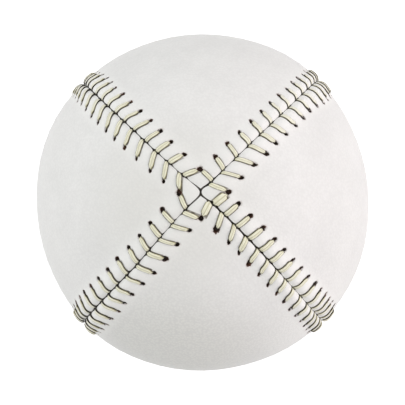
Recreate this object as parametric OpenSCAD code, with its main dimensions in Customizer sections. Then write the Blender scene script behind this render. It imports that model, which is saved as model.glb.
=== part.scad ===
// A baseball with a one-piece leather cover. Four petals of one sheet are
// folded up round the wound ball and sewn edge to edge, so four seams run
// from a cross at the top down towards the uncut base.
// The origin is the centre of the ball and +Z goes through the cross.

/* [Ball] */
// Diameter over the leather
ball_d = 74.4; // [72:0.1:77]

/* [Core] */
// Diameter of the cork core
cork_d = 20.6; // [16:0.1:24]
// Wall of the two black rubber half shells
half_shell_t = 4; // [2.5:0.1:5]
// Thickness of the red cushion washer between the half shells
washer_t = 1.6; // [0.8:0.1:3]
// Wall of the red rubber coat round the half shells
coat_t = 2.4; // [1.5:0.1:3.5]

/* [Windings] */
// Thickness of the white wool winding
white_wool_t = 1.8; // [1:0.1:3]
// Thickness of the outer grey wool winding
outer_grey_t = 2.2; // [1:0.1:3.5]
// Thickness of the white finishing winding
finish_t = 0.6; // [0.4:0.05:1.2]
// Play between one layer and the next
layer_gap = 0.05; // [0.02:0.01:0.1]

/* [Cover] */
// Thickness of the leather
leather_t = 1.4; // [1.1:0.05:2]
// Depth pared off the back of the leather beside each seam
pare_t = 0.5; // [0.4:0.05:0.7]
// Gap between the two leather edges of a seam
seam_gap = 0.5; // [0.3:0.05:0.8]
// Diameter of the uncut base, measured along the leather
base_d = 38; // [30:1:60]

/* [Stitching] */
// Diameter of the thread
thread_d = 0.8; // [0.6:0.05:1]
// Distance from one stitch to the next along a seam
stitch_pitch = 3.5; // [3:0.1:5]
// Distance from a seam to its stitch holes
stitch_reach = 3.4; // [2.5:0.1:4.5]
// How far a stitch runs ahead of its hole before it dives into the seam
stitch_lead = 1.3; // [0.8:0.1:1.8]
// Step along the seam between the left and the right strand where they dive
strand_step = 1.1; // [0.9:0.05:1.4]
// Room round the thread in its hole
hole_gap = 0.1; // [0.05:0.01:0.2]
// Room between the thread and the leather that it lies on
rest_gap = 0.08; // [0.06:0.01:0.15]
// Room on each side of the thread where leather nips or covers it
nip_gap = 0.06; // [0.04:0.01:0.08]

/* [Hidden] */
$fn = 128;

// Azimuth of each seam
back_right = 45;
back_left = 135;
front_left = 225;
front_right = 315;
seams = [back_right, back_left, front_left, front_right];
// Turn from a seam to the middle line of the next petal
half_petal = 45;
// A thread is sewn away from the cross or towards it
outward = 1;
inward = -1;

// Radii from the middle out
cork_r = cork_d / 2;
half_in_r = cork_r + layer_gap;
half_out_r = half_in_r + half_shell_t;
coat_in_r = half_out_r + layer_gap;
coat_out_r = coat_in_r + coat_t;
// Radii from the outside in; the inner grey winding fills what is left
ball_r = ball_d / 2;
cover_in_r = ball_r - leather_t;
finish_out_r = cover_in_r - layer_gap;
finish_in_r = finish_out_r - finish_t;
outer_grey_out_r = finish_in_r - layer_gap;
outer_grey_in_r = outer_grey_out_r - outer_grey_t;
white_wool_out_r = outer_grey_in_r - layer_gap;
white_wool_in_r = white_wool_out_r - white_wool_t;
inner_grey_out_r = white_wool_in_r - layer_gap;
inner_grey_in_r = coat_out_r + layer_gap;

// The thread is round above the leather, and flat below it and in the seam;
// a straight stretch under the leather dips a little towards the centre
thread_r = thread_d / 2;
hidden_leg = norm([stitch_reach, stitch_pitch - stitch_lead + strand_step / 2]);
hidden_dip = pow(hidden_leg, 2) / (8 * cover_in_r);
under_r = cover_in_r + (pare_t + hidden_dip) / 2;
flat_half = (pare_t - hidden_dip) / 2 - nip_gap;
nip_half = seam_gap / 2 - nip_gap;
over_r = ball_r + thread_r + rest_gap;
sides = 6;

// The first hole of a seam lies on the middle line of its petal, where the
// next seam round the ball shares it, so two threads lie in it side by side
hole_r = thread_r + hole_gap;
reach_deg = arc_deg(stitch_reach);
first_along = asin(tan(reach_deg)) / arc_deg(1);
pair_polar = acos(cos(reach_deg) * cos(arc_deg(first_along)));
pair_offset = thread_r + hole_gap / 2;
pair_shift = pair_offset / sqrt(2);
pair_hole_r = pair_offset + hole_r;
// Half width of the pared band beside a seam
pare_half = stitch_reach + thread_d;

// A seam ends at the uncut base, and holds as many stitches as fit
seam_len = PI * ball_r - base_d / 2;
end_room = stitch_lead + strand_step / 2 + thread_d;
stitches = 1 + floor((seam_len - first_along - end_room) / stitch_pitch);
tail_reach = stitch_reach / 2;
// How far a cut runs past the face that it opens
cut_margin = 1;

function unit(v) = v / norm(v);

// Angle at the centre of the ball for a length along its surface
function arc_deg(d) = d / ball_r * 180 / PI;

// Point beside a seam in the XZ plane: spot gives the lengths along the seam
// from the cross and across it, measured on the leather
function seam_point(spot, r) =
    let (s = arc_deg(spot[0]), x = arc_deg(spot[1]))
    r * [cos(x) * sin(s), sin(x), cos(x) * cos(s)];

// Where stitch k comes up through the leather, on side 1 or -1
function hole_spot(k, side) = k == 0
    ? [first_along + pair_shift, side * (stitch_reach - pair_shift)]
    : [first_along + k * stitch_pitch, side * stitch_reach];

// Where that stitch dives into the seam; the strand on the left of the
// sewing direction goes a step further than the one on the right
function dive_spot(k, side, heading) =
    let (ahead = stitch_lead + side * heading * strand_step / 2)
    [first_along + k * stitch_pitch + heading * ahead, 0];

// One ring of the thread: its centre, the way the thread runs through it,
// its half width along the seam and its half width the other way
function ring(centre, way, half_along, half_other) =
    [centre, unit(way), half_along, half_other];

// The rings of one stitch: up through the hole, over the leather, down the
// seam, with the spots before and after it on the back of the leather
function stitch_rings(before, hole, dive, after) =
    let (
        low = seam_point(hole, under_r),
        over = seam_point(hole, over_r),
        dive_over = seam_point(dive, over_r),
        dive_low = seam_point(dive, under_r),
        up = unit(low),
        down = -unit(dive_low),
        arrive = unit(low - seam_point(before, under_r)),
        leg = unit(dive_over - over),
        leave = unit(seam_point(after, under_r) - dive_low)
    ) [
        ring(low, arrive + up, thread_r, flat_half * sqrt(2)),
        ring(seam_point(hole, ball_r), up, thread_r, thread_r),
        ring(over + leg * thread_r, leg, thread_r, thread_r),
        ring(dive_over - leg * thread_r, leg, thread_r, thread_r),
        ring(seam_point(dive, ball_r + rest_gap), down, thread_r, nip_half),
        ring(dive_low, down + leave, thread_r, flat_half * sqrt(2))
    ];

// One strand of a seam, sewn from its first hole, changing sides each time,
// to its tail under the leather
function strand(first_side, heading) =
    let (
        last = stitches - 1,
        ks = [for (j = [0:last]) heading == outward ? j : last - j],
        side = [for (j = [0:last]) j % 2 == 0 ? first_side : -first_side],
        holes = [for (j = [0:last]) hole_spot(ks[j], side[j])],
        dives = [for (j = [0:last]) dive_spot(ks[j], side[j], heading)],
        bridge = [holes[0][0], -holes[0][1]],
        tail = dives[last] + [heading * thread_r, -side[last] * tail_reach],
        stops = concat(holes, [tail]),
        tail_point = seam_point(tail, under_r)
    )
    concat(
        [for (j = [0:last])
            each stitch_rings(j == 0 ? bridge : dives[j - 1], holes[j], dives[j], stops[j + 1])],
        [ring(tail_point, tail_point - seam_point(dives[last], under_r), thread_r, flat_half)]
    );

// Corners of a ring, with the first one towards the base along the seam
function ring_corners(r) =
    let (
        polar = atan2(r[0][0], r[0][2]),
        along = [cos(polar), 0, -sin(polar)],
        u = unit(along - (along * r[1]) * r[1]),
        v = cross(r[1], u)
    )
    [for (i = [0:sides - 1])
        r[0] + r[2] * cos(i * 360 / sides) * u + r[3] * sin(i * 360 / sides) * v];

// One closed tube through a list of rings
module tube(rings) {
    count = len(rings);
    points = [for (r = rings) each ring_corners(r)];
    walls = [for (j = [0:count - 2], i = [0:sides - 1])
        let (a = j * sides + i, b = j * sides + (i + 1) % sides)
        each [[a, a + sides, b], [b, a + sides, b + sides]]];
    start = [for (i = [1:sides - 2]) [0, i, i + 1]];
    top = (count - 1) * sides;
    end = [for (i = [1:sides - 2]) [top, top + i + 1, top + i]];
    polyhedron(points, concat(walls, start, end));
}

// The whole thread of a seam: its middle lies under the leather between the
// two first holes, and each half is sewn as one strand
module seam_thread(azimuth, heading) {
    left = strand(1, heading);
    right = strand(-1, heading);
    back = [for (i = [len(left) - 1:-1:0])
        ring(left[i][0], -left[i][1], left[i][2], left[i][3])];
    first_k = heading == outward ? 0 : stitches - 1;
    middle_spot = [hole_spot(first_k, 1)[0], 0];
    middle = ring(seam_point(middle_spot, under_r), [0, -1, 0], thread_r, flat_half);
    color("#dcd8b8") rotate([0, 0, azimuth]) tube(concat(back, [middle], right));
}

// Hollow ball between two radii
module shell(out_r, in_r) {
    difference() {
        sphere(r = out_r);
        sphere(r = in_r);
    }
}

// Slab along both diagonals, from the top down to a height
module cross_slab(half_w, low_z) {
    reach = ball_r + cut_margin;
    for (a = [back_right, back_left])
        rotate([0, 0, a]) translate([-reach, -half_w, low_z])
            cube([2 * reach, 2 * half_w, reach - low_z]);
}

// Half of the black rubber shell, as it lies above the washer
module half_shell() {
    color("#262626") intersection() {
        shell(half_out_r, half_in_r);
        translate([-half_out_r, -half_out_r, washer_t / 2])
            cube(2 * half_out_r);
    }
}

module cork_core() {
    color("#b98d5e") sphere(r = cork_r);
}

module upper_half_shell() {
    half_shell();
}

module lower_half_shell() {
    mirror([0, 0, 1]) half_shell();
}

module cushion_washer() {
    color("#a03a30") intersection() {
        shell(half_out_r, half_in_r);
        cube([2 * half_out_r, 2 * half_out_r, washer_t], center = true);
    }
}

module rubber_coat() {
    color("#b5443a") shell(coat_out_r, coat_in_r);
}

module inner_grey_winding() {
    color("#8c8a86") shell(inner_grey_out_r, inner_grey_in_r);
}

module white_wool_winding() {
    color("#e9e4d8") shell(white_wool_out_r, white_wool_in_r);
}

module outer_grey_winding() {
    color("#98968f") shell(outer_grey_out_r, outer_grey_in_r);
}

module finish_winding() {
    color("#f0ece2") shell(finish_out_r, finish_in_r);
}

// Stitch holes beside every seam, and the shared one near each petal's tip
module stitch_holes() {
    depth = leather_t + 2 * cut_margin;
    for (a = seams) {
        for (k = [1:stitches - 1], side = [-1, 1]) {
            spot = hole_spot(k, side);
            rotate([0, arc_deg(spot[0]), a]) rotate([-arc_deg(spot[1]), 0, 0])
                translate([0, 0, cover_in_r - cut_margin]) cylinder(h = depth, r = hole_r);
        }
        rotate([0, pair_polar, a + half_petal])
            translate([0, 0, cover_in_r - cut_margin]) cylinder(h = depth, r = pair_hole_r);
    }
}

module leather_cover() {
    base_z = ball_r * cos(arc_deg(seam_len));
    color("#e8e6e2") difference() {
        sphere(r = ball_r);
        sphere(r = cover_in_r);
        intersection() {
            sphere(r = cover_in_r + pare_t);
            cross_slab(pare_half, base_z);
        }
        cross_slab(seam_gap / 2, base_z);
        stitch_holes();
    }
}

module back_right_thread() {
    seam_thread(back_right, inward);
}

module back_left_thread() {
    seam_thread(back_left, outward);
}

module front_left_thread() {
    seam_thread(front_left, outward);
}

module front_right_thread() {
    seam_thread(front_right, inward);
}

cork_core();
upper_half_shell();
lower_half_shell();
cushion_washer();
rubber_coat();
inner_grey_winding();
white_wool_winding();
outer_grey_winding();
finish_winding();
leather_cover();
back_right_thread();
back_left_thread();
front_left_thread();
front_right_thread();
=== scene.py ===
from functools import partial

import bpy
import numpy as np
from mathutils import Matrix, Vector


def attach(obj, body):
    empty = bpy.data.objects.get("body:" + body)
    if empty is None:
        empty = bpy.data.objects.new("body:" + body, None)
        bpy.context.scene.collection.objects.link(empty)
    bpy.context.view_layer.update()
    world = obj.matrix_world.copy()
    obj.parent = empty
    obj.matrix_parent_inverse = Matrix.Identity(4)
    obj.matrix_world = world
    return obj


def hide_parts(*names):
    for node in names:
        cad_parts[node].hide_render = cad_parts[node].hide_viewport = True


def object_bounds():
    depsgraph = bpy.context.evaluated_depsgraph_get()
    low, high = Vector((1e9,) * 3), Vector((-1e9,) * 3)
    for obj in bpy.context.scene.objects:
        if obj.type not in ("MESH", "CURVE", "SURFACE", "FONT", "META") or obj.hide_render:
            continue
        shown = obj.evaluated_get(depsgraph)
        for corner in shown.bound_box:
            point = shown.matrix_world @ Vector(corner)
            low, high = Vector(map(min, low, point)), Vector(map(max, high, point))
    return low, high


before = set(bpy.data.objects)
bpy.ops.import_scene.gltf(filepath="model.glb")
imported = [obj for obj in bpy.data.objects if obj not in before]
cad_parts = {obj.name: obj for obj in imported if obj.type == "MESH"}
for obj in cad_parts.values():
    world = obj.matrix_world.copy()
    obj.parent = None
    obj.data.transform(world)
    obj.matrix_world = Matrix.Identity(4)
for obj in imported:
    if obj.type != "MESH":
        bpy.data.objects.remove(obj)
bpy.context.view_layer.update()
print("frame loaded with", len(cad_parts), "pieces")

mm = 0.001  # every size below is in millimetres
tiny = 1e-6  # keeps a division from failing where a petal comes to its point
rng, holeRng = np.random.default_rng(27), np.random.default_rng(5)


# Small helpers

def eased(low, high, value):  # 0 below low, 1 above high, an S curve between
    t = np.clip((value - low) / (high - low), 0, 1)
    return t * t * (3 - 2 * t)


def bell(value, width):  # 1 at zero, falling away smoothly on both sides
    return np.exp(-(value / width) ** 2)


def band(start, end, value):  # rises over one pair of values and falls again over another
    return eased(*start, value) * (1 - eased(*end, value))


def unit(vectors):
    return vectors / np.linalg.norm(vectors, axis=-1, keepdims=True)


def hexColour(text):  # sRGB hex to the linear values that a shader takes
    c = np.array([int(text[i:i + 2], 16) for i in (1, 3, 5)]) / 255
    c = np.where(c <= 0.04045, c / 12.92, ((c + 0.055) / 1.055) ** 2.4)
    return (*c.tolist(), 1.0)


def newObject(name, points, faces, material, smooth=True):  # points in mm, one list of faces
    mesh = bpy.data.meshes.new(name)
    mesh.from_pydata((points * mm).tolist(), [], faces)
    mesh.polygons.foreach_set("use_smooth", np.full(len(mesh.polygons), smooth))
    mesh.materials.append(material)
    mesh.update()
    thing = bpy.data.objects.new(name, mesh)
    bpy.context.scene.collection.objects.link(thing)
    return thing


def addMap(thing, name, uv):  # one pair of values for each corner of a face
    thing.data.uv_layers.new(name=name).data.foreach_set("uv", uv.astype(np.float32).ravel())


def addMark(thing, name, values):  # one value for each point
    mark = thing.data.attributes.new(name, "FLOAT", "POINT")
    mark.data.foreach_set("value", np.ascontiguousarray(values, np.float32))


def sweptTube(path, u, v, section):
    # A closed section carried along a path, with its ends capped: its point (x, y) goes to path + x u + y v.
    # Its map holds millimetres along the path and the share of a turn round it.
    n, count = len(path), len(section)
    points = path[:, None] + section[None, :, :1] * u[:, None] + section[None, :, 1:] * v[:, None]
    index = np.arange(n * count).reshape(n, count)
    nextOne = np.roll(index, -1, 1)
    quads = np.stack([index[:-1], nextOne[:-1], nextOne[1:], index[1:]], -1).reshape(-1, 4)
    faces = quads.tolist() + [index[0][::-1].tolist(), index[-1].tolist()]
    length = np.concatenate([[0], np.cumsum(np.linalg.norm(np.diff(path, axis=0), axis=1))])
    lay = np.stack(np.broadcast_arrays(length[:, None], np.arange(count + 1) / count), -1)
    uv = np.stack([lay[:-1, :-1], lay[:-1, 1:], lay[1:, 1:], lay[1:, :-1]], 2).reshape(-1, 2)
    return points.reshape(-1, 3), faces, np.concatenate([uv, np.zeros((2 * count, 2))])


soft = {"interpolation_type": "SMOOTHSTEP"}
inColour = {"data_type": "RGBA"}  # a Mix node then has its share at input 0 and its two colours at 6 and 7
times = {"operation": "MULTIPLY"}
timesPlus = {"operation": "MULTIPLY_ADD"}


def span(start, end):  # the values from which a Map Range node goes to those that it gives
    return {"From Min": start, "From Max": end}


def addNode(tree, kind, settings):
    # One node with its settings and links: a setting that is another node, or an output of one, is linked
    node = tree.nodes.new("ShaderNode" + kind)
    for key, value in settings.items():
        if isinstance(value, bpy.types.Node):
            value = next(output for output in value.outputs if output.enabled)  # the first one in use
        if isinstance(value, bpy.types.NodeSocket):
            tree.links.new(value, node.inputs[key])
        elif isinstance(key, str) and hasattr(node, key):
            setattr(node, key, value)
        else:
            node.inputs[key].default_value = hexColour(value) if isinstance(value, str) else value
    return node


def newNodes(owner):  # clears the nodes of a material or the world and gives the function that adds one
    owner.use_nodes = True
    owner.node_tree.nodes.clear()
    return partial(addNode, owner.node_tree)


def newMaterial(name):
    material = bpy.data.materials.new(name)
    return material, newNodes(material)


def addSurface(add, colour, height, bump, shine):  # how each material ends: its bump and its shader
    normal = add("Bump", {**bump, "Height": height})
    surface = add("BsdfPrincipled", {**shine, "Base Color": colour, "Normal": normal})
    add("OutputMaterial", {"Surface": surface})


# The cover: one sheet of leather in four petals, sewn along four seams

cover = {
    "radius": 37.2,  # over the leather, away from the seams
    "leather": 1.4,
    "pared": 0.5,  # taken off the back of the leather beside a seam
    "pareReach": 4.2,
    "pareSlope": 0.6,  # half the slope that the paring leaves
    "pareEnd": 2,  # and the same at the end of a seam
    "seamEnd": 97.87,  # where the cuts stop, measured from the cross
    "firstHole": 3.42,  # row of the hole that two seams share at a petal's tip
    "pitch": 3.5,
    "reach": 3.4,  # from the seam to its holes
    "stitches": 27,
    "gap": 0.03,  # half the slit between two edges
    "notch": 0.10,  # how much a strand forces it open
    "notchLong": 0.6,
    "noNotch": -0.4,  # before this there is none, in stitches from the first hole
    "slitRunsOut": 1.5,  # length over which it closes at its end
    "tightRows": (12, 28),  # a seam pulls tight between these
    "tightBy": 0.6,
    "diveShade": 0.20,  # painted shade where a strand goes down the seam
    "diveShadeLong": 0.32,
    "usualShade": 0.05,
    "lineShadeShare": 0.7,  # share of the painted shade at the seam, over the usual, that widens the painted shade beside the stitches
    "edgeRoll": 0.14,  # radius of the worn edge
    "ridge": 0.62,  # the edge pillows up beside the seam
    "ridgeAt": 1.5,
    "ridgeFade": 1.7,
    "ridgeSteep": 2.2,  # power of its fall to the edge
    "ridgeMerge": 0.35,  # how softly two ridges meet at a petal's tip
    "ridgeEnd": (-10, 5),  # it runs out between these, from the end of the seam
    "valley": -0.12,  # it dips into the seam
    "nearCross": 0.5,  # share of the ridge that is left at the cross
    "wholeFrom": 26,  # row from which it is whole
    "swellFade": 4.2,  # how far from the seam its swell reaches
    "square": 1.87,  # the ball is a little square
    "squareTurn": 10,  # degrees from a seam to a corner of it
    "flat": {"right": 0.33, "left": 0.73, "back": 0.15, "front": 0.05},  # it lies flatter on its petals
    "uneven": 0.03,  # height of slow waves all over
    "waves": 14, "waveRate": (4, 11),  # how many there are, and how close
    "bandStart": (-0.6, 0), "bandEnd": (-1.2, -0.5),  # in stitches, from the first hole and from their count
    "pucker": 0.045,  # leather drawn down at a stitch and puffed between two
    "puckerFrom": (0.2, 1.2), "puckerTo": (2.8, 5.2),
    "groove": 0.08,  # the stitch's own dent
    "grooveWide": 0.5, "grooveFrom": (0.1, 0.5), "grooveTo": (2.6, 3.0),
    "holeLong": 0.64,
    "holeWide": 0.47,
    "holeAt": 3.42,
    "holeDeep": 0.8,
    "holeWall": (0.6, 1.0),  # shares of its size between which a hole's wall drops
    "holeFloor": 0.06,  # leather left below a hole
    "tipHole": 0.55,
    "tipAt": 3.35,
    "tipShift": {0: 0.65, 90: -0.35, 180: -0.6, 270: 0.25},  # each tip hole lies off by this, by azimuth
    "tipSpread": 2,
    "slit": 0.5,  # half the short slit where the side petals meet at the cross
    "slitFade": 2.2,
    "farOff": 9.0,  # a mark's value where nothing is near
}
cover["stitchRows"] = cover["firstHole"] + np.arange(cover["stitches"]) * cover["pitch"]

stitch = {
    "flick": 0.4,  # a leg bends outwards by this at its hole
    "flickAcross": (2.2, 3.4),
    "flickRows": (8, 22),  # it grows between these
    "leanEnd": 7.5,  # a leg's lean goes on in the leather past its hole, to here
    "leanFade": 3,
    "calmFrom": 6,  # the unevenness dies out from here to a petal's middle line
    "reachFade": (4.5, 10),
    "shakeWide": 1.5,  # how far a hole's shake spreads
    "wide": 0.46,  # half width where it lies on the leather
    "firstWide": 1.7,  # the front right seam's first pair is spread flat
    "thick": 0.26,
    "tipShort": 0.42,  # the first stitch goes down this much before the middle of its hole
    "tipShortOver": (1.5, 3.1),
    "onTop": 2.45,  # beyond this a leg doesn't follow the leather down into its hole
    "under": 36.07,  # radius of the runs below the leather
    "holeShake": 0.07,  # hand-sewn unevenness
    "diveShake": 0.09,
    "reachShake": 0.07,
    "wideShake": 0.09,
    "sizeShake": 0.12,
}

# At some rows: wander is how far a seam strays from its straight line, edge shade how wide the painted shade
# on each edge is and swell how far the ball rises along the seam. Slack is how loosely the edges meet, girth
# the thread's width, stand its height, pierced the size of the holes. On each side, at the stitches of
# stations: root is how far ahead of its row a stitch meets the seam, hole how far ahead its hole lies and
# reach how much further out than usual
stations = np.array([0, 1, 2, 4, 6, 8, 10, 13, 26])
swellRows = [0, 26, 38, 50, 60, 92]
seams = {
    "back_right_thread": {
        "azimuth": 45, "heading": -1, "slack": 0.9, "stand": 0.85, "girth": 0.92, "pierced": 0.93,
        "swell": [0, 0, 0, -0.4, -0.4, 0],
        "wander": ([0, 15, 27, 50, 90], [0, -0.20, -0.28, 0.1, 0]),
        "edgeShade": ([0, 5, 7, 30, 36, 90], [0.09, 0.08, 0.0, 0.01, 0.03, 0.03]),
        "left": {"root": [-0.3, -0.45, -0.6, 0, -0.4, -0.65, -1.4, -1.6, -0.8],
                 "hole": [0, 0, 0.1, 0.3, 0.05, -0.4, -0.9, -1.0, 0],
                 "reach": [0, -0.8, -0.5, -0.5, -0.3, -0.55, -0.65, -0.4, 0]},
        "right": {"root": [-1.2, -1.3, -0.95, -0.35, -0.55, -0.7, -1.1, -1.2, -0.6],
                  "hole": [0, 0.55, 0.95, 0.7, 0.5, 0, -0.2, -0.2, 0.4],
                  "reach": [0, 0, 0, -0.1, 0.1, -0.25, 0.8, 0.6, 0]},
    },
    "back_left_thread": {
        "azimuth": 135, "heading": 1, "slack": 0.9, "stand": 0.95, "girth": 1.03, "pierced": 0.86,
        "swell": [0, 0.1, 0.1, -0.6, -0.6, 0],
        "wander": ([0, 11, 27, 50, 90], [0, 0.34, 0.26, -0.2, 0]),
        "edgeShade": ([0, 2, 8, 20, 28, 90], [0.09, 0.035, 0.035, 0.05, 0.07, 0.06]),
        "left": {"root": [2.1, 1.9, 1.7, 1.9, 1.7, 0.8, 0.55, -0.2, 0.6],
                 "hole": [0, -0.15, -0.2, 0.4, -0.15, -0.85, -1.6, -2.6, 0],
                 "reach": [0, -0.4, 0, 0.1, 0.1, 0.3, -0.2, -0.2, 0]},
        "right": {"root": [1.2, 1.65, 1.3, 1.45, 1.05, 0.2, -0.4, -0.4, 0.4],
                  "hole": [0, 0.55, 0.85, 0.4, 0.55, 0.1, -1.15, -1.3, 0.4],
                  "reach": [0, -0.25, -0.1, 0.2, 0.25, 0.2, 0.4, 0.2, 0]},
    },
    "front_left_thread": {
        "azimuth": 225, "heading": 1, "slack": 1.2, "stand": 1.3, "girth": 0.95, "pierced": 0.93,
        "swell": [0, 0.2, 0.2, -0.3, -0.3, 0],
        "wander": ([0, 18, 28, 35, 42, 55, 90], [0, 0.75, 0.5, 0.35, 0.2, 0.2, 0]),
        "edgeShade": ([0, 3, 4, 8, 11, 30, 90], [0.09, 0.05, 0.01, 0.0, 0.05, 0.07, 0.06]),
        "left": {"root": [1.65, 1.7, 1.8, 2.2, 2.7, 2.25, 2.75, 3.1, 0.7],
                 "hole": [0, -0.1, 0.2, 0.9, 1.3, 0.75, 1.05, 1.2, 0],
                 "reach": [0, -0.25, -0.2, -0.05, 0, 0.2, 0.35, 0.4, 0]},
        "right": {"root": [0.75, 0.95, 1.2, 1.6, 1.6, 1.6, 2.1, 2.5, 0.5],
                  "hole": [0, 0.85, 0.85, 0.75, 1.15, 1.4, 1.15, 1.7, 0.4],
                  "reach": [0, -0.35, -0.35, 0, -0.15, 0.2, 0.25, 0.2, 0]},
    },
    "front_right_thread": {
        "azimuth": 315, "heading": -1, "slack": 2.2, "stand": 1.25, "girth": 1.07, "pierced": 1.0,
        "swell": [0, 0.25, 0.25, -0.25, -0.25, 0],
        "wander": ([0, 10, 17, 28, 40, 55, 90], [0, 0.1, 0, -0.35, -0.6, -0.5, 0]),
        "edgeShade": ([0, 8, 22, 30, 90], [0.09, 0.10, 0.07, -0.06, -0.06]),
        "left": {"root": [0, -0.4, -0.8, -1.0, -1.55, -2.75, -3.0, -5.2, -2.0],
                 "hole": [0, -0.15, -0.3, -0.15, -0.85, -1.75, -2.55, -4.0, -1.4],
                 "reach": [0, -0.25, -0.15, 0.15, 0.2, 0.1, 0.4, 0.5, 0]},
        "right": {"root": [-0.9, -1.2, -1.4, -1.6, -2.1, -2.9, -3.0, -5.1, -2.0],
                  "hole": [0, 0.1, 0.35, -0.7, -0.95, -1.85, -2.5, -3.2, -1.3],
                  "reach": [0, -0.5, -0.35, -0.5, -0.35, -0.45, -0.5, -0.1, 0]},
    },
}
for plan in seams.values():  # one small shake for each stitch on both sides, with room for its neighbours
    tableSize = 2, cover["stitches"] + 3
    for shake in ("holeShake", "diveShake", "reachShake"):
        plan[shake] = rng.normal(0, stitch[shake], tableSize)
        plan[shake][:, :2] = 0  # none at the ends of a seam
        plan[shake][:, -3:] = 0
    plan["legWidth"] = stitch["wide"] * plan["girth"] * (1 + rng.normal(0, stitch["wideShake"], tableSize))
    plan["holeSize"] = plan["pierced"] + holeRng.normal(0, stitch["sizeShake"], tableSize)
    nextAzimuth = (plan["azimuth"] - 90) % 360, (plan["azimuth"] + 90) % 360
    plan["next"] = [p for a in nextAzimuth for p in seams.values() if p["azimuth"] == a]  # right, left
seams["front_right_thread"]["legWidth"][:, 1] *= stitch["firstWide"]


def midline(row):  # half width of a petal: the arc from a seam to the petal's middle line
    return cover["radius"] * np.arctan(np.sin(row / cover["radius"]))


def stitchPhase(row):  # counts stitches along the seam, and is whole at each hole
    return (row - cover["firstHole"]) / cover["pitch"]


def shaken(table, side, row):  # a shake between two stitches is mixed from both
    phase = np.clip(stitchPhase(row) + 1, 0, cover["stitches"] + 1)
    before = np.floor(phase).astype(int)
    part = phase - before
    which = (np.asarray(side) > 0).astype(int)
    return table[which, before] * (1 - part) + table[which, before + 1] * part


def swellAt(plan, row):  # S curves from one row of the table to the next
    steps = zip(swellRows, swellRows[1:], plan["swell"], plan["swell"][1:])
    return sum((after - before) * eased(start, end, row) for start, end, before, after in steps)


def sewn(plan, side, what, row):  # a value of the seam's tables between two of the stations
    rows = [0, *cover["stitchRows"][stations], cover["seamEnd"]]
    return np.interp(row, rows, [0, *plan["left" if side > 0 else "right"][what], 0])


def stitchSpot(plan, side, row, across):
    # A row leans with its stitch, from root, where it meets the seam, to its hole, and bends a little there.
    # Gives the lengths along the seam and across it, with the seam's wander and the sewing's unevenness.
    mid = np.maximum(midline(row), tiny)
    reach = np.minimum(cover["reach"], mid)
    room = np.maximum(mid - reach, tiny)
    beyond = -(across - reach) / reach * np.clip((mid - across) / room, 0, 1)
    beyond = beyond * np.clip((stitch["leanEnd"] - across) / stitch["leanFade"], 0, 1)
    lean = np.where(across < reach, 1 - across / reach, beyond)
    near = 1 - eased(np.minimum(stitch["calmFrom"], mid / 2), mid, across)
    atHole = bell(across - cover["reach"], stitch["shakeWide"]) * near
    root = sewn(plan, side, "root", row) + shaken(plan["diveShake"], side, row)
    hole = sewn(plan, side, "hole", row)
    bend = eased(*stitch["flickAcross"], across) - np.minimum(across / cover["reach"], 1)
    bend = stitch["flick"] * bend * eased(*stitch["flickRows"], row)
    along = row + (root - hole) * lean + (hole + bend) * near
    along = along + shaken(plan["holeShake"], side, row) * atHole
    further = sewn(plan, side, "reach", row) * np.minimum(across / reach, 1)
    further = further * (1 - eased(*stitch["reachFade"], across)) * near
    sideways = side * (across + further + shaken(plan["reachShake"], side, row) * atHole)
    return along, sideways + np.interp(row, *plan["wander"]) * near


def onBall(azimuth, along, sideways, radius):
    # Turn down from the cross by along, then sideways off the seam's plane, both as arcs of the ball
    s, x = along / cover["radius"], sideways / cover["radius"]
    a = np.radians(azimuth)
    out, off = np.cos(x) * np.sin(s), np.sin(x)
    return np.stack([radius * (out * np.cos(a) - off * np.sin(a)),
                     radius * (out * np.sin(a) + off * np.cos(a)),
                     radius * np.cos(x) * np.cos(s)], -1)


def isSidePetal(plan, side):  # the right or the left one, not the back or the front one
    return (plan["azimuth"] + side * 45) % 180 == 0


def place(plan, side, row, share, radius):
    # A point of a half petal: share is 0 at the seam and 1 at the petal's middle line.
    # Near the cross the petals draw apart, so that two Y joints and a short slit appear.
    across = share * midline(row)
    points = onBall(plan["azimuth"], *stitchSpot(plan, side, row, across), radius)
    petal = plan["azimuth"] + side * 45
    near = bell(row, cover["slitFade"])
    toBack = 1 if plan["azimuth"] < 180 else -1
    slit = toBack * cover["slit"] * near * (1 - share if isSidePetal(plan, side) else 1)
    offTip = np.hypot(row - cover["firstHole"], across - cover["tipAt"])
    apart = cover["gap"] * np.sqrt(2) * near
    apart = apart + cover["tipShift"][petal % 360] * bell(offTip, cover["tipSpread"])
    points[..., 0] += apart * np.cos(np.radians(petal))
    points[..., 1] += apart * np.sin(np.radians(petal)) + slit
    return points


waves = rng.normal(0, 1, (cover["waves"], 3))
waves *= (rng.uniform(*cover["waveRate"], len(waves)) / np.linalg.norm(waves, axis=1))[:, None]
wavePhase = rng.uniform(0, 2 * np.pi, len(waves))


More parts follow.
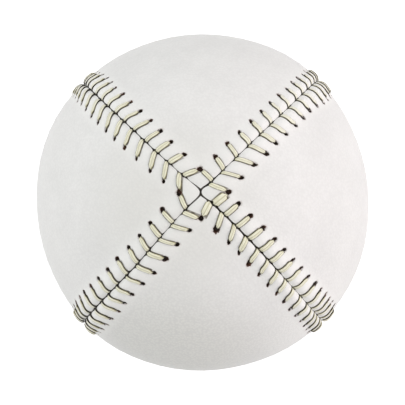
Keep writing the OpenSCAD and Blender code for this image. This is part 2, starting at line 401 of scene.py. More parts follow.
def leatherRise(plan, side, row, across):
    # Height of the leather over the ball's radius: a valley at the seam, a rounded ridge beside it, a broad
    # swell, puckers at the stitches, pits at their holes and a slow unevenness. Also gives how far a point is
    # from a hole, in sizes of the hole, and from the flank of a stitch.
    ball, merge, ridgeAt = cover["radius"], cover["ridgeMerge"], cover["ridgeAt"]
    other = ball * np.arcsin(np.clip(np.cos(across / ball) * np.sin(row / ball), -1, 1))  # to the other seam
    nearer = -merge * np.log(np.exp(-across / merge) + np.exp(-np.maximum(other, 0) / merge))
    nearer = np.maximum(nearer, 0)
    inside = np.clip((ridgeAt - nearer) / ridgeAt, 0, 1)
    ridge = cover["ridge"] * bell(np.maximum(nearer - ridgeAt, 0), cover["ridgeFade"])
    ridge = ridge - (cover["ridge"] - cover["valley"]) * inside ** cover["ridgeSteep"]
    ridge = ridge * (cover["nearCross"] + (1 - cover["nearCross"]) * eased(0, cover["wholeFrom"], row))
    own = 0.5 + 0.5 * (other - across) / np.maximum(other + across, tiny)  # a half on the middle line
    own = eased(0, 1, own)
    nextSwell = np.where(np.asarray(side) > 0, swellAt(plan["next"][1], row), swellAt(plan["next"][0], row))
    swell = swellAt(plan, row) * own + nextSwell * (1 - own)
    endFrom, endTo = cover["ridgeEnd"]
    closed = 1 - eased(cover["seamEnd"] + endFrom, cover["seamEnd"] + endTo, row)
    rise = (ridge + swell * bell(across, cover["swellFade"])) * closed
    phase, count = stitchPhase(row), cover["stitches"]
    nearest = np.clip(np.round(phase), 0, count - 1)
    offLeg = np.abs(phase - nearest) * cover["pitch"]
    amongStitches = band(cover["bandStart"], np.add(cover["bandEnd"], count), phase)
    drawn = band(cover["puckerFrom"], cover["puckerTo"], across) * amongStitches
    rise = rise - cover["pucker"] * np.cos(2 * np.pi * phase) * drawn
    onLeg = band(cover["grooveFrom"], cover["grooveTo"], across) * amongStitches
    rise = rise - cover["groove"] * bell(offLeg, cover["grooveWide"]) * onLeg
    pit = np.hypot((across - cover["holeAt"]) / cover["holeLong"], offLeg / cover["holeWide"])
    tip = np.hypot(across - cover["tipAt"], row - cover["tipAt"]) / cover["tipHole"]
    which = (np.asarray(side) > 0).astype(int), nearest.astype(int) + 1
    pit = np.where(nearest > 0, pit / plan["holeSize"][which], tip)
    rise = rise - cover["holeDeep"] * (1 - eased(*cover["holeWall"], pit))
    turned = onBall(plan["azimuth"] - cover["squareTurn"], row, side * across, 1.0)
    x, y, flat = turned[..., 0], turned[..., 1], cover["flat"]
    rise = rise + cover["square"] * x ** 2 * y ** 2 - np.where(x > 0, flat["right"], flat["left"]) * x ** 4
    rise = rise - np.where(y > 0, flat["back"], flat["front"]) * y ** 4
    way = onBall(plan["azimuth"], row, side * across, 1.0)
    rise = rise + cover["uneven"] * np.sin(way @ waves.T + wavePhase).sum(-1)
    beside = np.where(amongStitches > 0.05, offLeg - plan["legWidth"][which], cover["farOff"])
    return rise, pit, beside


# The cover's grid: its rows, and the lengths across a half petal at which its section has points
grid = {
    "tipRows": [0, 0.3, 0.65, 1.0, 1.35],
    "rowsAtStitch": [-1.75, -1.25, -0.85, -0.55, -0.3, -0.1, 0.1, 0.3, 0.55, 0.85, 1.25],  # close at its hole
    "rowsBeforeEnd": [1, 0.4, 0],
    "baseRows": [98.4, 99.4, 101, 103, 105.5, 108, 110.5, 112.8, 114.8, 116.2],  # on the uncut base
    "narrow": 7,  # a half petal that is narrower keeps its section in shares
    "backAcross": [7, 4.6, 3.4],
    "backShares": [1, 0.85, 0.6, 0.35],
    "rollTurns": [0, 30, 60, 90],
    "across": [0.55, 0.8, 1.1, 1.45, 1.8, 2.15, 2.45, 2.7, 2.9, 3.1, 3.3, 3.5, 3.7, 3.9, 4.1, 4.35, 4.75, 5.4,
               6.2],
    "coarse": 7,  # steps from there to the middle line
    "wall": 5,  # the column of the slit's wall, after those of the back
    "rim": 9,  # the last column of the rolled edge
    "depths": [-5, -5, -5, -5, -5, -0.4, -0.1],  # what the map holds on the flesh side and down the wall
}


def coverRows():  # lengths from the cross to the middle of the base
    sewnRows = cover["stitchRows"][:, None] + grid["rowsAtStitch"]
    end = cover["seamEnd"] - np.array(grid["rowsBeforeEnd"])
    last = cover["stitchRows"][-1:] + cover["pitch"] / 2
    bottom = [np.pi * cover["radius"]]
    return np.concatenate([grid["tipRows"], sewnRows.ravel(), last, end, grid["baseRows"], bottom])


def halfPetal(plan, side):
    # A section carried along the seam: the leather's back, the slit's wall, the rolled edge, the grain side
    row = coverRows()[:, None]
    mid = midline(row)
    safeMid = np.maximum(mid, tiny)
    isSewn = row <= cover["seamEnd"] + tiny
    closing = np.clip((cover["seamEnd"] - row) / cover["slitRunsOut"], 0, 1)
    phase = stitchPhase(row)
    atDive = bell((phase - np.round(phase)) * cover["pitch"], cover["notchLong"]) * (phase > cover["noNotch"])
    slack = plan["slack"] * (1 - cover["tightBy"] * eased(*cover["tightRows"], row))
    gap = (cover["gap"] * slack + cover["notch"] * atDive) * closing * (1 - bell(row, cover["slitFade"]))
    narrow, fine = grid["narrow"], np.array(grid["across"])
    roll = cover["edgeRoll"] * np.minimum(1, mid / narrow) * closing
    turn = np.radians(grid["rollTurns"])
    rollX = gap + roll * (1 - np.cos(turn))
    coarse = np.linspace(0, 1, grid["coarse"] + 1)[1:]
    last = fine[-1]
    narrowShare = np.concatenate([fine / narrow, last / narrow + (1 - last / narrow) * coarse])
    wide = np.hstack([np.broadcast_to(fine, (len(row), len(fine))), last + (mid - last) * coarse])
    outerShare = np.where(mid < narrow, narrowShare, wide / safeMid)
    wideBack = np.hstack([np.ones_like(mid), grid["backAcross"] / safeMid])
    backShare = np.where(mid < narrow, grid["backShares"], wideBack)
    backX = np.hstack([backShare * mid, gap])
    across = np.hstack([backX, gap, rollX, outerShare * mid])
    edgeShare = np.where(mid < tiny, 0, np.hstack([gap, gap, rollX]) / safeMid)
    share = np.hstack([backShare, edgeShare, outerShare])
    rows = np.broadcast_to(row, across.shape)
    rise, pit, beside = leatherRise(plan, side, rows, across)
    top = cover["radius"] + rise
    pared = 1 - eased(cover["pareReach"] - cover["pareSlope"], cover["pareReach"] + cover["pareSlope"], backX)
    pared = pared * (1 - eased(cover["seamEnd"] - cover["pareEnd"], cover["seamEnd"] + cover["pareEnd"], row))
    back = cover["radius"] - cover["leather"] + cover["pared"] * pared
    wall, rimAt = grid["wall"], grid["rim"]
    rim = top[:, rimAt:rimAt + 1]
    halfWay = (back[:, wall - 1:] + rim - roll) / 2
    radius = np.hstack([back, halfWay, rim - roll * (1 - np.sin(turn)), top[:, rimAt + 1:]])
    radius[:, wall:] = np.maximum(radius[:, wall:], back.max() + cover["holeFloor"])
    points = place(plan, side, rows, share, radius)
    # painted shade along each edge of the slit, wider where a strand goes down the seam
    paintedShade = np.interp(row, *plan["edgeShade"])
    edgeShade = paintedShade + cover["diveShade"] * bell(np.maximum(beside, 0), cover["diveShadeLong"])
    fromSeam = np.where(isSewn, np.minimum(across - gap, rows) - edgeShade * closing, cover["farOff"])
    depth = across.copy()
    depth[:, :len(grid["depths"])] = grid["depths"]
    marks = np.stack([pit, beside - cover["lineShadeShare"] * (paintedShade - cover["usualShade"]), fromSeam], -1)
    return points, np.stack([np.broadcast_to(phase, depth.shape), depth], -1), marks, isSewn[:, 0]


def buildCover(material):
    # Eight half petals side by side, with the points that they share merged
    halves, allQuads, caps, start = [], [], [], 0
    for plan in seams.values():
        for side in (-1, 1):
            *half, isSewn = halfPetal(plan, side)
            halves.append(half)
            n, m = half[0].shape[:2]
            index = start + np.arange(n * m).reshape(n, m)
            quads = np.stack([index[:-1, :-1], index[1:, :-1], index[1:, 1:], index[:-1, 1:]], -1)
            keep = np.ones((n - 1, m - 1), bool)
            keep[:, grid["wall"] - 1:grid["rim"]] = isSewn[1:, None]  # no wall past the end of a slit
            quads, section = quads[keep], index[0]
            if side < 0:
                quads, section = quads[:, ::-1], section[::-1]
            if isSidePetal(plan, side):
                caps.append(section)  # closes its blunt tip along the short slit
            allQuads.append(quads)
            start += n * m
    points, stitchMap, marks = [np.concatenate([part.reshape(-1, part.shape[-1]) for part in parts])
                                for parts in zip(*halves)]
    _, first, same = np.unique(np.round(points, 4), axis=0, return_index=True, return_inverse=True)
    same = same.ravel()
    quads = same[np.concatenate(allQuads)]
    equal = quads == np.roll(quads, -1, 1)  # a corner that fell on the next one makes a triangle
    faces = quads[~equal.any(1)].tolist()
    for corner in range(4):
        triangles = quads[equal[:, corner] & (equal.sum(1) == 1)]
        faces += np.delete(triangles, corner, 1).tolist()
    for cap in caps:
        ring = same[cap]
        faces.append(ring[ring != np.roll(ring, -1)].tolist())
    used = np.unique(np.concatenate(faces))
    slim = np.full(len(first), -1)
    slim[used] = np.arange(len(used))
    kept = first[used]
    thing = newObject("leather_cover_sewn", points[kept], [slim[face].tolist() for face in faces], material)
    corner = np.empty(len(thing.data.loops), np.int32)
    thing.data.loops.foreach_get("vertex_index", corner)
    addMap(thing, "stitchMap", stitchMap[kept][corner])
    for name, values in zip(("fromHole", "fromStitch", "fromSeam"), marks[kept].T):
        addMark(thing, name, values)
    print("cover:", len(thing.data.vertices), "points,", len(faces), "faces")
    return thing


# The thread of each seam: one length with a needle on each end, so two strands that change sides every stitch

thread = {"points": 14, "centreDip": 0.16, "dipWide": 0.3, "square": 0.75}  # its section
# a stitch from its hole to the seam: across from the seam, height over the leather, half width and half
# thickness, where a 1 stands for the stitch's own, and how far it is sunk out of the light
leg = np.array([
    [3.14, -0.85, 0.30, 0.24, 1], [3.12, -0.50, 0.32, 0.24, 1], [3.08, -0.22, 0.34, 0.24, 0.9],
    [2.98, 0.0, 0.36, 0.25, 0.7], [2.82, 0.12, 0.40, 0.26, 0.5], [2.55, 0.17, 1, 1, 0.35],
    [2.3, 0.18, 1, 1, 0.22], [2.05, 0.18, 1, 1, 0.1], [1.8, 0.18, 1, 1, 0], [1.5, 0.18, 1, 1, 0],
    [1.2, 0.18, 1, 1, 0], [0.92, 0.18, 1, 1, 0], [0.68, 0.17, 1, 1, 0], [0.48, 0.14, 1, 1, 0],
    [0.32, 0.05, 0.44, 0.22, 0.1], [0.19, -0.12, 0.43, 0.17, 0.8], [0.08, -0.36, 0.42, 0.13, 1],
    [0.0, -0.7, 0.40, 0.11, 1]])
tailAt = 8  # the thread's end is tucked below this point of a leg
hiddenRun = [0.40, 0.15, 1]  # half width, half thickness and sunk, below the leather


def strandPoint(plan, side, row, share, radius):  # a strand changes sides from stitch to stitch
    right, left = place(plan, -1, row, share, radius), place(plan, 1, row, share, radius)
    return np.where((side > 0)[..., None], left, right)


def strandPath(plan, firstSide):
    # Up through a hole, over the leather, down the seam and on below the leather to the next hole across it
    order = np.arange(cover["stitches"])[::plan["heading"]]
    side = (firstSide * (-1.0) ** np.arange(len(order)))[:, None]
    short = stitch["tipShort"] * (order[:, None] == 0) * eased(*stitch["tipShortOver"], leg[:, 0])
    across = leg[:, 0] - short
    row = np.broadcast_to(cover["stitchRows"][order][:, None], across.shape)
    surface = leatherRise(plan, side, row, np.minimum(across, stitch["onTop"]))[0]
    share = across / midline(row)
    legs = strandPoint(plan, side, row, share, cover["radius"] + surface + leg[:, 1])
    under = np.full((len(order), 1), stitch["under"])
    rise = strandPoint(plan, side, row[:, :1], share[:, :1], under)
    dive = strandPoint(plan, side, row[:, -1:], share[:, -1:], under)
    tail = strandPoint(plan, -side[-1:], row[-1:, -1:], share[-1:, tailAt:tailAt + 1], under[:1])
    part = np.array([0.2, 0.4, 0.6, 0.8])[None, :, None]
    below = dive + (np.concatenate([rise[1:], tail]) - dive) * part
    below *= stitch["under"] / np.linalg.norm(below, axis=-1, keepdims=True)
    path = np.concatenate([rise, legs, dive, below], 1)
    half = np.concatenate([[hiddenRun], leg[:, 2:], [hiddenRun] * (1 + part.size)])
    half = np.repeat(half[None], len(order), 0)
    width = plan["legWidth"][(side > 0).astype(int), order[:, None] + 1]
    half[:, :, 0] = np.where(half[:, :, 0] == 1, width, half[:, :, 0])
    half[:, :, 1] = np.where(half[:, :, 1] == 1, stitch["thick"] * plan["stand"], half[:, :, 1])
    return np.concatenate([path.reshape(-1, 3), tail[0]]), np.concatenate([half.reshape(-1, 3), [hiddenRun]])


def buildThread(name, plan, material):
    # A flat section with a dip along its middle is swept along the strand's path, its wide way along the seam
    left, leftHalf = strandPath(plan, 1)
    right, rightHalf = strandPath(plan, -1)
    middle = (left[:1] + right[:1]) / 2
    middle *= stitch["under"] / np.linalg.norm(middle)
    path = np.concatenate([left[::-1], middle, right])
    half = np.concatenate([leftHalf[::-1], leftHalf[:1], rightHalf])
    way = unit(np.gradient(path, axis=0))
    a = np.radians(plan["azimuth"])
    outward = np.array([np.cos(a), np.sin(a), 0])
    polar = np.arctan2(path @ outward, path[:, 2])
    along = np.cos(polar)[:, None] * outward - np.sin(polar)[:, None] * np.array([0, 0, 1.0])
    u = unit(along - (along * way).sum(1, keepdims=True) * way)
    v = np.cross(way, u)
    count = thread["points"]
    angle = np.arange(count) * 2 * np.pi / count
    c, s = np.cos(angle), np.sin(angle)
    flatX = np.sign(c) * np.abs(c) ** thread["square"]
    dip = 1 - thread["centreDip"] * bell(c, thread["dipWide"])
    flatY = np.sign(s) * np.abs(s) ** thread["square"] * dip
    points, faces, uv = sweptTube(path, half[:, :1] * u, half[:, 1:2] * v, np.stack([flatX, flatY], -1))
    thing = newObject(name + "_sewn", points, faces, material)
    addMap(thing, "threadMap", uv)
    low = np.linalg.norm(path, axis=1).repeat(count) - np.linalg.norm(points, axis=1)
    addMark(thing, "sunk", half[:, 2].repeat(count))
    addMark(thing, "low", low / half[:, 1].repeat(count))
    print(name, "is", round(float(uv.max())), "mm long with", len(faces), "faces")
    return thing


# The windings: yarn laid round the ball in great circles, over a ball of its own earlier turns

windings = {  # inner and outer radius, turns that show, half width and height of the yarn, depth of the turns
    "inner_grey_winding": dict(inner=16.85, outer=31.0, turns=90, wide=0.95, thick=0.50, pile=1.2),
    "white_wool_winding": dict(inner=31.05, outer=32.85, turns=100, wide=0.85, thick=0.38, pile=0.6),
    "outer_grey_winding": dict(inner=32.9, outer=35.1, turns=110, wide=0.85, thick=0.42, pile=0.7),
    "finish_winding": dict(inner=35.15, outer=35.75, turns=170, wide=0.50, thick=0.13, pile=0.22),
}
winder = {  # how far the ball tips and spins with every turn, and the points of a turn and of a section
    "tipRate": 0.0502, "spinRate": 0.0941, "perTurn": 54, "sides": 6,
}


def ballSkin(radius, rings=24, around=48):
    # Points (sin p cos t, sin p sin t, cos p) by rings of p and turns of t, and faces that look outwards
    polar = (np.arange(1, rings) * np.pi / rings)[:, None]
    turn = np.arange(around) * 2 * np.pi / around
    ring = np.sin(polar) * np.cos(turn), np.sin(polar) * np.sin(turn), np.cos(polar)
    skin = np.stack(np.broadcast_arrays(*ring), -1)
    index = 1 + np.arange((rings - 1) * around).reshape(rings - 1, around)
    nextOne = np.roll(index, -1, 1)
    quads = np.stack([index[:-1], index[1:], nextOne[1:], nextOne[:-1]], -1).reshape(-1, 4)
    top = np.stack([np.zeros(around, int), index[0], nextOne[0]], -1)
    bottom = np.stack([np.full(around, index[-1, -1] + 1), nextOne[-1], index[-1]], -1)
    points = radius * np.concatenate([[[0, 0, 1]], skin.reshape(-1, 3), [[0, 0, -1]]])
    return points, quads.tolist() + top.tolist() + bottom.tolist()


def buildWinding(name, plan, material):
    # The strand goes round the circle (cos t, sin t, 0), whose plane tips about x and turns about z a little
    # more with every turn, and later turns lie higher
    s = np.arange(winder["perTurn"] * plan["turns"] + 1) / winder["perTurn"]
    lean = 2 * ((winder["tipRate"] * s + rng.random()) % 1) - 1
    tip = np.arccos(2 * np.abs(lean) - 1)  # so that the turns lie evenly over the ball
    spin = 2 * np.pi * (winder["spinRate"] * s + rng.random())
    t = 2 * np.pi * s
    x, y, z = np.cos(t), np.sin(t) * np.cos(tip), np.sin(t) * np.sin(tip)
    out = np.stack([x * np.cos(spin) - y * np.sin(spin), x * np.sin(spin) + y * np.cos(spin), z], -1)
    path = out * (plan["outer"] - plan["thick"] - plan["pile"] * (1 - s / plan["turns"]))[:, None]
    way = np.gradient(path, axis=0)
    aside = unit(np.cross(out, way))
    upright = np.cross(way, aside)
    upright = plan["thick"] * upright / np.linalg.norm(way, axis=1, keepdims=True)
    angle = np.arange(winder["sides"]) * 2 * np.pi / winder["sides"]
    section = np.stack([np.cos(angle), np.sin(angle)], -1)
    points, faces, uv = sweptTube(path, plan["wide"] * aside, upright, section)
    ball, ballFaces = ballSkin(plan["outer"] - plan["thick"] - plan["pile"])  # what the earlier turns make
    hollow, hollowFaces = ballSkin(plan["inner"])
    n, m = len(points), len(points) + len(ball)
    faces += [[n + i for i in face] for face in ballFaces]
    faces += [[m + i for i in face[::-1]] for face in hollowFaces]  # looks into the hollow
    points = np.concatenate([points, ball, hollow])
    thing = newObject(name.replace("winding", "yarn"), points, faces, material)
    corners = len(thing.data.loops) - len(uv)
    below = np.tile((0, 0.25), (corners, 1))  # painted shade: the ball under the turns takes the dark of the twist, as shadow in the gaps between turns
    addMap(thing, "yarnMap", np.concatenate([uv, below]))
    print(name, "is", round(float(uv.max() * mm)), "m of yarn with", len(faces), "faces")
    return thing


# Materials of the cover

def alumTannedLeather():
    # White alum-tanned horsehide, plated smooth: soft satin, faint clouds, fine grain, painted shade at the
    # stitches, holes and seams, and painted light beside the seams
    look = {
        "hide": "#EDEDEB", "cloud": "#E7E7E5", "crease": "#CDCDCB", "rolled": "#F4F4F1", "handled": "#E3E3DE",
        "paintedShade": "#4A3C16", "halo": "#B89C8E", "hole": "#221408", "raw": "#63402F", "slit": "#231C0E",
        "flesh": "#D8CDBB",
        "grainMm": 0.55,  # drawn coarser than real grain, to show
        "cloudMm": 7.0, "speckMm": 1.4, "raggedMm": 0.5,
        "bandMm": (6.0, 2.4),  # the band of painted light beside a seam, from its edge to where it is palest
        "lineMm": (0.23, 0.07), "lineEndMm": (3.1, 2.7),  # painted shade beside a stitch, and where it stops
        "slitMm": (0.05, -0.03),
        "haloAt": (2.2, 1.5), "holeAt": (1.66, 1.48),  # in sizes of a hole, with its ragged edge
        "tipMm": (36.6, 36.8),  # the heights between which the holes get browner
        # soft patches: colour, middle, reach and strength; dimmer round the cross, painted light low on the
        # front right and on the left, and painted shade at the front base, the darkest one last
        "patches": [("handled", (-5.4, -2.2, 36.7), 24, 0.8), ("rolled", (23.0, -25.5, 14.0), 17, 0.8),
                    ("rolled", (-31.0, -14.0, 15.0), 16, 0.4), ("handled", (-6.0, -31.0, 18.0), 26, 0.95)],
    }
    material, add = newMaterial("alum_tanned_leather")
    spot = add("TexCoord", {}).outputs["Object"]
    height = add("SeparateXYZ", {0: spot}).outputs["Z"]
    sewing = add("SeparateXYZ", {0: add("UVMap", {"uv_map": "stitchMap"})})
    stitchCount, across = sewing.outputs["X"], sewing.outputs["Y"]
    fromHole, fromStitch, fromSeam = [add("Attribute", {"attribute_name": mark}).outputs["Fac"]
                                      for mark in ("fromHole", "fromStitch", "fromSeam")]
    noises = ("cloudMm", 3.0, 0.6), ("speckMm", 2.0, 0.5), ("raggedMm", 2.0, 0.5)
    cloud, speck, ragged = [add("TexNoise", {"Vector": spot, "Scale": 1 / (look[size] * mm), "Detail": detail,
                                             "Roughness": rough}) for size, detail, rough in noises]
    tone = add("Math", {**timesPlus, 0: speck, 1: 0.4, 2: cloud})
    tone = add("MapRange", {**span(0.5, 0.95), "Value": tone})
    base = add("Mix", {**inColour, 0: tone, 6: look["hide"], 7: look["cloud"]})
    for colour, middle, reach, strength in look["patches"]:
        away = add("VectorMath", {"operation": "DISTANCE", 0: spot, 1: np.multiply(middle, mm)})
        fade = {**soft, **span(reach * mm, reach * mm / 4), "To Max": strength}
        patch = add("MapRange", {**fade, "Value": away})
        base = add("Mix", {**inColour, 0: patch, 6: base, 7: look[colour]})
    # the borders of the grain's cells lie a little deeper and are drawn darker, and darker still in the last
    # patch as part of its painted shade
    grain = add("TexVoronoi", {"Vector": spot, "Scale": 1 / (look["grainMm"] * mm), "Randomness": 0.9})
    grainAndShade = add("Math", {**timesPlus, 0: patch, 1: 0.22, 2: 0.13})
    creased = add("MapRange", {**span(0.3, 0.65), "Value": grain, "To Max": grainAndShade})
    # painted light: a paler band beside a seam, least at the cross and not past the last stitch
    rolled = add("MapRange", {**soft, **span(*look["bandMm"]), "Value": across})
    for fade in ({**span(0, 11), "To Min": 0.35}, span(27.5, 25)):
        fade = add("MapRange", {**fade, "Value": stitchCount})
        rolled = add("Math", {**times, 0: rolled, 1: fade})
    # painted shade: a dark line beside each stitch, where shadow falls between thread and leather, broken in
    # places
    line = add("MapRange", {**soft, **span(*look["lineMm"]), "Value": fromStitch, "To Max": 0.9})
    nearEnd = add("MapRange", {**soft, **span(*look["lineEndMm"]), "Value": across})
    worn = add("MapRange", {**span(0.3, 0.6), "Value": speck, "To Min": 0.45})
    for fade in (nearEnd, worn):
        line = add("Math", {**times, 0: line, 1: fade})
    # painted shade in and round each hole; at the petals' tips, round the cross, the holes have gone browner
    # than the others
    pit = add("Math", {"operation": "ADD", 0: ragged, 1: fromHole})
    halo = add("MapRange", {**soft, **span(*look["haloAt"]), "Value": pit, "To Max": 0.25})
    holeShade = add("MapRange", {**soft, **span(*look["holeAt"]), "Value": pit})
    atTip = add("MapRange", {**span(*np.multiply(look["tipMm"], mm)), "Value": height, "To Max": 0.25})
    holeShadeAndStain = add("Math", {"operation": "ADD", 0: speck, 1: atTip})
    holeShadeAndStain = add("MapRange", {**span(0.46, 0.7), "Value": holeShadeAndStain})
    holeShadeAndStain = add("Mix", {**inColour, 0: holeShadeAndStain, 6: look["hole"], 7: look["raw"]})
    # painted shade: a dark line along the seam's slit
    slit = add("MapRange", {**soft, **span(*look["slitMm"]), "Value": fromSeam})
    fleshSide = add("Math", {"operation": "LESS_THAN", 0: across, 1: -2.0})
    layers = [(creased, look["crease"]), (rolled, look["rolled"]), (line, look["paintedShade"]),
              (halo, look["halo"]), (holeShade, holeShadeAndStain), (slit, look["slit"]), (fleshSide, look["flesh"])]
    for share, colour in layers:
        base = add("Mix", {**inColour, 0: share, 6: base, 7: colour})
    addSurface(add, base, grain, {"Strength": 0.4, "Distance": 0.1 * mm, "invert": True},
               {"Roughness": 0.5, "IOR": 1.5, "Specular IOR Level": 0.35})
    return material


def waxedCotton():
    # Plied cotton drawn through wax: pale cream, yellower round the cross, flat, with painted shade on its
    # sides, between its plies and where it turns under
    look = {
        "cream": "#F3F2DC", "paleThread": "#F7F6EC", "groove": "#BDB894", "side": "#9E955E", "outerSideShade": "#5A502C",
        "shade": "#1F1808",
        "fibreMm": 0.12, "fibreLongMm": 1.6,  # drawn coarser than real fibres, to show
        "roundMm": 2.7,  # the way round the thread
    }
    material, add = newMaterial("waxed_cotton_thread")
    lay = add("UVMap", {"uv_map": "threadMap"})
    spot = add("SeparateXYZ", {0: add("TexCoord", {}).outputs["Object"]})
    height = spot.outputs["Z"]
    low, sunk = [add("Attribute", {"attribute_name": mark}).outputs["Fac"] for mark in ("low", "sunk")]
    turn = add("Math", {**times, 0: add("SeparateXYZ", {0: lay}).outputs["Y"], 1: 2 * np.pi})
    outer = add("Math", {"operation": "COSINE", 0: turn})
    wide = add("Math", {"operation": "ABSOLUTE", 0: outer})
    # painted shade: the thread's sides are drawn darker, more so where it goes down into a hole
    turned = add("Math", {**timesPlus, 0: sunk, 1: 0.45, 2: wide})
    rim = add("MapRange", {**soft, **span(0.76, 0.9), "Value": turned, "To Max": 0.75})
    # painted shade on the thread's side away from the cross, wider down the sides of the ball, where it is
    # seen aslant
    rimFrom = add("MapRange", {**span(34 * mm, 12 * mm), "Value": height, "To Min": 0.75, "To Max": 0.35})
    rimTo = add("Math", {"operation": "ADD", 0: rimFrom, 1: 0.2})
    outerRimShade = add("MapRange", {**soft, **span(rimFrom, rimTo), "Value": outer, "To Max": 0.85})
    inSight = add("MapRange", {**span(4 * mm, 12 * mm), "Value": height, "To Min": 0.7})
    outerSideShade = add("Math", {**times, 0: outerRimShade, 1: inSight})
    # painted shade in the line between the two plies, and the streaks of fibre
    ply = add("MapRange", {**soft, **span(0.22, 0), "Value": wide, "To Max": 0.8})
    stretch = 1 / look["fibreLongMm"], look["roundMm"] / look["fibreMm"], 1.0
    stretched = add("Mapping", {"Vector": lay, "Scale": stretch})
    fibre = add("TexNoise", {"Vector": stretched, "Scale": 1.0, "Detail": 2.0})
    streak = add("MapRange", {**span(0.4, 0.75), "Value": fibre, "To Max": 0.7})
    line = add("Math", {"operation": "MAXIMUM", 0: ply, 1: streak})
    # the lines are fainter and the thread paler down the sides of the ball, and most of all on the back right
    # seam
    toBackRight = add("Math", {"operation": "ADD", 0: spot.outputs["X"], 1: spot.outputs["Y"]})
    lessTowardsBackRight = add("MapRange", {**span(6 * mm, 34 * mm), "Value": toBackRight, "To Min": 1.0, "To Max": 0.5})
    linesByHeight = add("MapRange", {**span(12 * mm, 34 * mm), "Value": height, "To Min": 0.5})
    for fade in (linesByHeight, lessTowardsBackRight):
        line = add("Math", {**times, 0: line, 1: fade})
    worn = add("MapRange", {**span(16 * mm, 34 * mm), "Value": height})
    worn = add("Math", {**times, 0: worn, 1: lessTowardsBackRight})
    base = add("Mix", {**inColour, 0: worn, 6: look["paleThread"], 7: look["cream"]})
    edge = add("MapRange", {**soft, **span(-0.6, -0.2), "Value": low})
    deep = add("MapRange", {**span(0.6, 1), "Value": sunk})
    shade = add("Math", {"operation": "MAXIMUM", 0: edge, 1: deep})
    for share, colour in ((line, "groove"), (rim, "side"), (outerSideShade, "outerSideShade"), (shade, "shade")):
        base = add("Mix", {**inColour, 0: share, 6: base, 7: look[colour]})
    addSurface(add, base, fibre, {"Strength": 0.3, "Distance": 0.05 * mm},
               {"Roughness": 0.6, "Specular IOR Level": 0.3, "Sheen Weight": 0.1})
    return material


# Materials of the core

def pliedYarn(name, look):
    # Plied yarn under tension: each ply shows its colour on its back, with painted shade in the twist and a
    # fuzz of fibres
    material, add = newMaterial(name)
    spot = add("TexCoord", {}).outputs["Object"]
    lay = add("SeparateXYZ", {0: add("UVMap", {"uv_map": "yarnMap"})})
    twist = add("Math", {**timesPlus, 0: lay.outputs["X"], 1: 1 / look["twistMm"], 2: lay.outputs["Y"]})
    twist = add("Math", {**times, 0: twist, 1: 2 * np.pi * look["plies"]})
    twist = add("Math", {"operation": "COSINE", 0: twist})
    fuzz = add("TexNoise", {"Vector": spot, "Scale": 1 / (look["fuzzMm"] * mm), "Detail": 3.0,
                            "Roughness": 0.65})
    height = add("Math", {**timesPlus, 0: twist, 1: 0.22, 2: fuzz})
    share = add("MapRange", {**span(0.2, 0.75), "Value": height})
    base = add("Mix", {**inColour, 0: share, 6: look["twist"], 7: look["strand"]})
    addSurface(add, base, height, {"Strength": 0.7, "Distance": 0.2 * mm},
               {"Roughness": 0.92, "Specular IOR Level": 0.15, "Sheen Weight": look["sheen"]})
    return material


def pressedCork():
    # Ground cork pressed with a rubber binder: dull tan grains of many tones, dark lines of binder round them
    look = {"pale": "#C49A66", "brown": "#8A5A33", "binder": "#4F3522", "grainMm": 1.7, "poreMm": 0.425}
    material, add = newMaterial("pressed_cork")
    spot = add("TexCoord", {}).outputs["Object"]
    cells = {"Vector": spot, "Scale": 1 / (look["grainMm"] * mm)}
    grain = add("TexVoronoi", cells)
    edge = add("TexVoronoi", {"feature": "DISTANCE_TO_EDGE", **cells})
    pick = add("SeparateXYZ", {0: grain.outputs["Color"]})
    pores = add("TexNoise", {"Vector": spot, "Scale": 1 / (look["poreMm"] * mm), "Detail": 2.0})
    tone = add("Math", {**timesPlus, 0: pores, 1: 0.5, 2: pick})
    base = add("Mix", {**inColour, 0: tone, 6: look["pale"], 7: look["brown"]})
    gap = add("MapRange", {**span(0.06, 0.01), "Value": edge})
    base = add("Mix", {**inColour, 0: gap, 6: base, 7: look["binder"]})
    addSurface(add, base, edge, {"Strength": 0.6, "Distance": 0.3 * mm},
               {"Roughness": 0.85, "Specular IOR Level": 0.25})
    return material


def mouldedRubber(name, look):
    # Moulded rubber: dull skin with a dusty bloom in patches and the fine pits of the mould
    material, add = newMaterial(name)
    spot = add("TexCoord", {}).outputs["Object"]
    dust = add("TexNoise", {"Vector": spot, "Scale": 1 / (look["bloomMm"] * mm), "Detail": 4.0,
                            "Roughness": 0.6})
    share = add("MapRange", {**span(0.4, 0.75), "Value": dust})
    base = add("Mix", {**inColour, 0: share, 6: look["body"], 7: look["bloom"]})
    pits = add("TexNoise", {"Vector": spot, "Scale": 1 / (look["pitMm"] * mm), "Detail": 2.0})
    rough = add("MapRange", {"Value": dust, "To Min": 0.48, "To Max": 0.8})
    addSurface(add, base, pits, {"Strength": 0.3, "Distance": 0.1 * mm},
               {"Roughness": rough, "Specular IOR Level": 0.4})
    return material


# The yarns and rubbers, with the fuzz drawn coarser than real fibres, to show

wool = {"twistMm": 3.2, "plies": 2, "fuzzMm": 0.5, "sheen": 0.3}
cotton = {"twistMm": 1.8, "plies": 2, "fuzzMm": 0.3, "sheen": 0.1}
greyWool = pliedYarn("grey_wool_yarn", {**wool, "strand": "#8B8781", "twist": "#4A4743"})
# each yarn's twist colour is the painted shade in its twist
whiteWool = pliedYarn("white_wool_yarn", {**wool, "strand": "#E9E3D4", "twist": "#B5AB95"})
finishCotton = pliedYarn("finishing_cotton_yarn", {**cotton, "strand": "#F0EADB", "twist": "#C3B99F"})
blackLook = {"body": "#18181A", "bloom": "#3A3A3C", "bloomMm": 5.0, "pitMm": 0.4}
redLook = {"body": "#8A2A20", "bloom": "#A8584A", "bloomMm": 6.0, "pitMm": 0.4}
blackRubber = mouldedRubber("black_moulded_rubber", blackLook)
redRubber = mouldedRubber("red_moulded_rubber", redLook)

# The pieces, which all ride on the one body

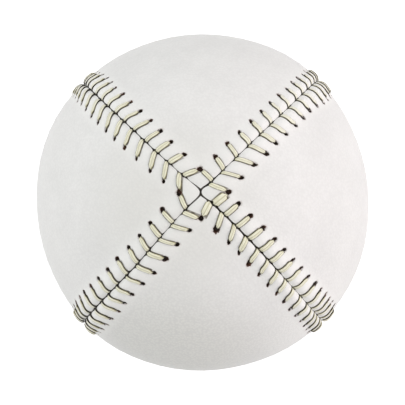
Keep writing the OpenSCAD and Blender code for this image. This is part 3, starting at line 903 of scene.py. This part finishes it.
coreMaterials = {"cork_core": pressedCork(), "upper_half_shell": blackRubber, "lower_half_shell": blackRubber,
                 "cushion_washer": redRubber, "rubber_coat": redRubber}
for name, material in coreMaterials.items():  # these keep the frame's own shapes
    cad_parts[name].material_slots[0].material = material
yarns = {"inner_grey_winding": (greyWool, "grey_wool"), "white_wool_winding": (whiteWool, "white_wool"),
         "outer_grey_winding": (greyWool, "grey_wool"), "finish_winding": (finishCotton, "finish_yarn")}
for name, (material, slotName) in yarns.items():
    piece = buildWinding(name, windings[name], material)
    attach(piece, "root")
    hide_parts(name)
coverPiece = buildCover(alumTannedLeather())
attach(coverPiece, "root")
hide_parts("leather_cover")
threadMaterial = waxedCotton()
for name, plan in seams.items():
    piece = buildThread(name, plan, threadMaterial)
    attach(piece, "root")
    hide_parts(name)


# The camera

shot = {
    "from": (0.00617, -0.0515, 0.99865), "away": 260.4, "roll": 0.7, "lens": 103.58, "sensor": 36.0,
    "ballAt": (202.0, 202.2), "frame": 405,  # the ball's middle and the picture's width, in pixels
    "clip": (10, 10000),
}
scene = bpy.context.scene
scene.view_settings.view_transform = "Standard"
cameraData = bpy.data.cameras.new("camera")
cameraData.lens, cameraData.sensor_width = shot["lens"], shot["sensor"]
cameraData.clip_start, cameraData.clip_end = np.multiply(shot["clip"], mm)
cameraData.shift_x = (shot["frame"] / 2 - shot["ballAt"][0]) / shot["frame"]
cameraData.shift_y = (shot["ballAt"][1] - shot["frame"] / 2) / shot["frame"]
camera = bpy.data.objects.new("camera", cameraData)
back = Vector(shot["from"]).normalized()
up = (Vector((0, 1, 0)) - back * back.y).normalized()
facing = Matrix((up.cross(back), up, back)).transposed().to_4x4()
roll = Matrix.Rotation(np.radians(-shot["roll"]), 4, "Z")
camera.matrix_world = Matrix.Translation(back * shot["away"] * mm) @ facing @ roll
scene.collection.objects.link(camera)
scene.camera = camera


# The floor and a light tent with soft walls

light = {
    "floor": "#A8A8A8", "floorGlow": 0.9, "floorWide": 3000.0, "fill": 0.6,
    "key": {"at": (850, -50, 400), "size": 700, "watts": 1.06, "colour": "#FFCCD4"},
    "walls": {  # the way that a wall of the tent lies, and how much brighter than the fill its middle is
        "right": ((1, 0, 0), 1.48),
        "left": ((-1, 0, 0), 1.61),
        "back": ((0, 1, 0), -0.27),
        "front": ((-0.42, -0.91, 0), -0.66),
        "roof": ((0, 0, 1), -0.17),
    },
}


def seenDirectly(add):  # 1 for what the camera sees straight, in a reflection or through glass
    rays = add("LightPath", {}).outputs
    seen = add("Math", {"operation": "MAXIMUM", 0: rays["Is Camera Ray"], 1: rays["Is Glossy Ray"]})
    return add("Math", {"operation": "MAXIMUM", 0: seen, 1: rays["Is Transmission Ray"]})


paperMaterial, add = newMaterial("white_studio_paper")
glow = add("Math", {**times, 0: seenDirectly(add), 1: light["floorGlow"]})
paper = add("BsdfDiffuse", {"Color": light["floor"]})
shine = add("Emission", {"Strength": glow})
both = add("AddShader", {0: paper, 1: shine})
add("OutputMaterial", {"Surface": both})
below = float(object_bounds()[0][2]) / mm  # the ball rests on it
corners = np.array([[-1, -1, 0], [1, -1, 0], [1, 1, 0], [-1, 1, 0]]) * light["floorWide"] + [0, 0, below]
floor = newObject("floor", corners, [[0, 1, 2, 3]], paperMaterial, smooth=False)

world = bpy.data.worlds.new("studio")
scene.world = world
add = newNodes(world)
way = add("TexCoord", {}).outputs["Generated"]
tent = light["fill"]
for toWall, brighter in light["walls"].values():
    towards = add("VectorMath", {"operation": "DOT_PRODUCT", 0: way, 1: toWall})
    towards = add("Math", {"operation": "MAXIMUM", 0: towards, 1: 0.0})
    tent = add("Math", {**timesPlus, 0: towards, 1: brighter, 2: tent})
strength = add("Mix", {0: seenDirectly(add), 2: tent, 3: 1.0})  # the camera sees plain white
sky = add("Background", {"Color": (1, 1, 1, 1), "Strength": strength})
add("OutputWorld", {"Surface": sky})

keyData = bpy.data.lights.new("key", "AREA")
keyData.shape, keyData.size, keyData.energy = "SQUARE", light["key"]["size"] * mm, light["key"]["watts"]
keyData.color = hexColour(light["key"]["colour"])[:3]
keyLamp = bpy.data.objects.new("key", keyData)
keyLamp.location = Vector(light["key"]["at"]) * mm
keyLamp.rotation_euler = keyLamp.location.to_track_quat("Z", "Y").to_euler()
scene.collection.objects.link(keyLamp)
print("camera, floor, tent and key light placed")
